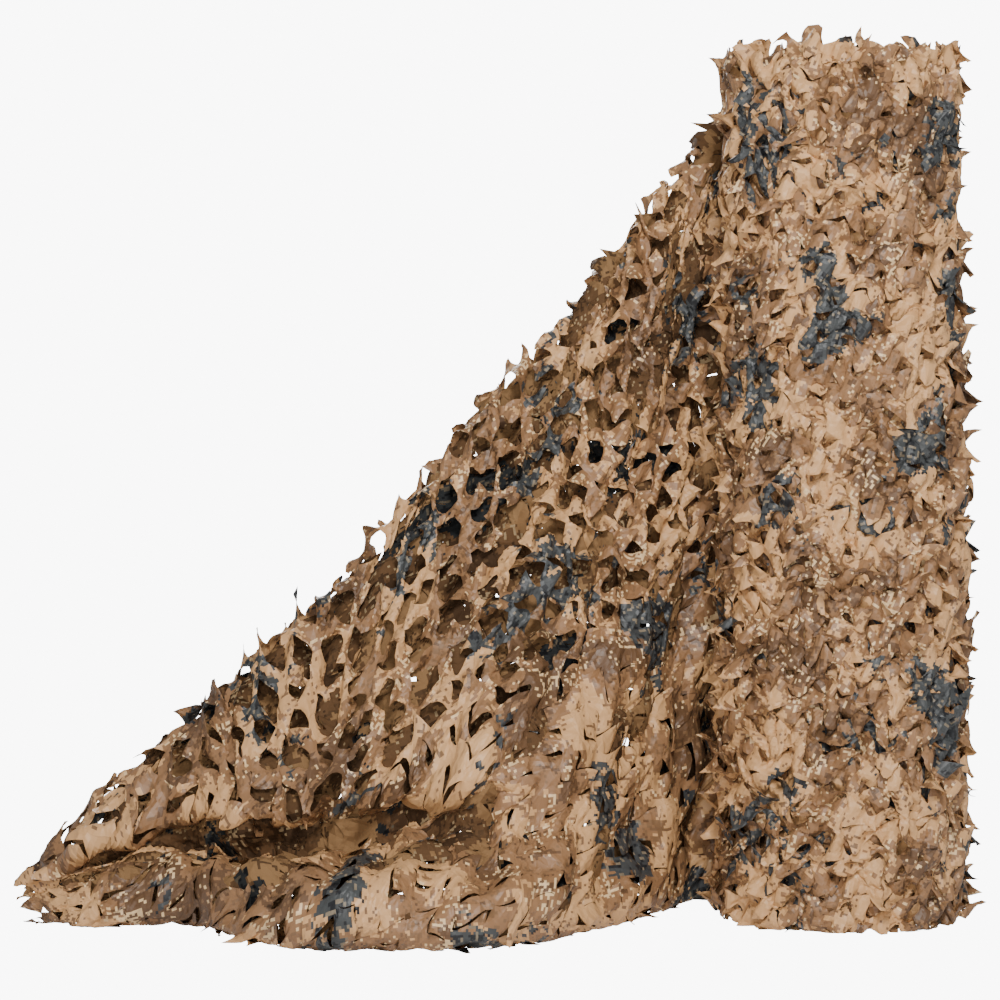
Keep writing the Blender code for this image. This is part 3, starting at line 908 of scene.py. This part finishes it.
def make_floor():
    """The plain pale floor that the net stands on."""
    material = bpy.data.materials.new("floor")
    material.use_nodes = True
    tree = material.node_tree
    shader = tree.nodes["Principled BSDF"]
    shader.inputs["Base Color"].default_value = linear(FLOOR_COLOUR)
    shader.inputs["Roughness"].default_value = 0.9
    bright_to_camera(tree, "ShaderNodeEmission", "Principled BSDF", "Material Output")
    reach = FLOOR_REACH
    corners = [(-reach, -reach, 0), (reach, -reach, 0), (reach, reach, 0), (-reach, reach, 0)]
    new_object("floor", corners, [(0, 1, 2, 3)], material)


def make_camera():
    """The camera, level and in front, as the photograph was taken."""
    data = bpy.data.cameras.new("camera")
    data.lens = CAMERA_LENS
    data.sensor_width = CAMERA_SENSOR
    data.shift_y = CAMERA_SHIFT
    camera = bpy.data.objects.new("camera", data)
    camera.location = CAMERA_PLACE
    camera.rotation_euler = (math.pi / 2, 0, 0)
    bpy.context.scene.collection.objects.link(camera)
    bpy.context.scene.camera = camera


def make_lights():
    """Soft light from all around, and three lamps."""
    world = bpy.data.worlds.new("studio")
    world.use_nodes = True
    bpy.context.scene.world = world
    around = world.node_tree.nodes["Background"]
    around.inputs["Color"].default_value = (1, 1, 1, 1)
    around.inputs["Strength"].default_value = AROUND
    bright_to_camera(world.node_tree, "ShaderNodeBackground", "Background", "World Output")
    for name, place, size, power in LIGHTS:
        data = bpy.data.lights.new(name, "AREA")
        data.size = size
        data.energy = power
        light = bpy.data.objects.new(name, data)
        light.visible_camera = False
        light.location = place
        aim = np.array(LIGHTS_AIM) - np.array(place)
        tilt = math.acos(-aim[2] / np.linalg.norm(aim))
        light.rotation_euler = (tilt, 0, math.atan2(aim[1], aim[0]) - math.pi / 2)
        bpy.context.scene.collection.objects.link(light)


def make_core(material):
    """The turns deep inside the roll, as one closed form."""
    rings = []
    turn = np.linspace(0, 2 * math.pi, CORE_SIDES, endpoint=False)
    for share, height in CORE_LEVELS:
        reach = CORE_RADIUS * share
        level = np.full(CORE_SIDES, height)
        rings.append(np.stack([reach * np.cos(turn), reach * np.sin(turn), level], axis=1))
    points = np.concatenate(rings)
    ring = np.arange(CORE_SIDES)
    ahead = (ring + 1) % CORE_SIDES
    faces = [tuple(ring[::-1]), tuple(ring + len(points) - CORE_SIDES)]
    for low in range(0, len(points) - CORE_SIDES, CORE_SIDES):
        high = low + CORE_SIDES
        faces += zip(low + ring, low + ahead, high + ahead, high + ring)
    faces = [[int(corner) for corner in face] for face in faces]
    flat = np.stack([np.arctan2(points[:, 1], points[:, 0]) * CORE_RADIUS, points[:, 2]], axis=1)
    return new_object("wound_core", points, faces, material, flat[np.concatenate(faces)])


def make_layers(net, painted_shade):
    """The nets over the loose end, with the flat size of each."""
    made = {}
    for name, values in LAYERS.items():
        layer = dict(zip(LAYER_COLUMNS, values))
        depth = layer.pop("depth")
        # the darkened copy of the printed net is painted shade for the layer inside the drape
        material = painted_shade if layer.pop("painted_shade") else net
        surface, length = draped_surface(depth) if depth else wrapped_drape()
        flat = flattened(surface, length)
        width = areas_of(flat).mean() / length if depth else NET_WIDTH
        piece = net_piece(name, (surface, flat), material, OPEN_CELL, **layer)
        made[name] = (piece, width, length, "draped")
    return made


def make_turns(net):
    """The roll's outer turns and the turns' edges at its ends, with the flat size of each."""
    made = {}
    for name, values in TURNS.items():
        turn = dict(zip(TURN_COLUMNS, values))
        surface, length = wound_surface(turn.pop("radius"), turn.pop("turns"), turn.pop("drop"))
        laid = (surface, plain_flat(length, NET_WIDTH))
        piece = net_piece(name, laid, net, WOUND_CELL, lift=TURN_LIFT, cap=TURN_CAP, **turn)
        made[name] = (piece, NET_WIDTH, length, "folded")
    for name, (low, seed) in COILS.items():
        surface, length = coiled_surface(low, low + COIL_BAND)
        laid = (surface, plain_flat(length, COIL_BAND))
        piece = net_piece(
            name, laid, net, WOUND_CELL, seed=seed, slant=0.0, detail=COIL_DETAIL,
            stand=COIL_STAND, lift=COIL_STAND, cap=COIL_CAP,
        )
        made[name] = (piece, COIL_BAND, length, "folded")
    return made


def main():
    net = net_material("printed_net")
    # A darker copy of the printed net: painted shade for the inner layer inside the drape.
    painted_shade = net_material("printed_net_painted_shade", PAINTED_INNER_SHADE, roughness=0.8, gloss=0.1)
    make_floor()
    make_camera()
    make_lights()
    sheets = {**make_layers(net, painted_shade), **make_turns(net)}
    core = make_core(net)
    for name, (piece, width, length, held) in sheets.items():
        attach(piece, "root")
    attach(core, "root")
    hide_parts("loose_end")
    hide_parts("roll")


main()
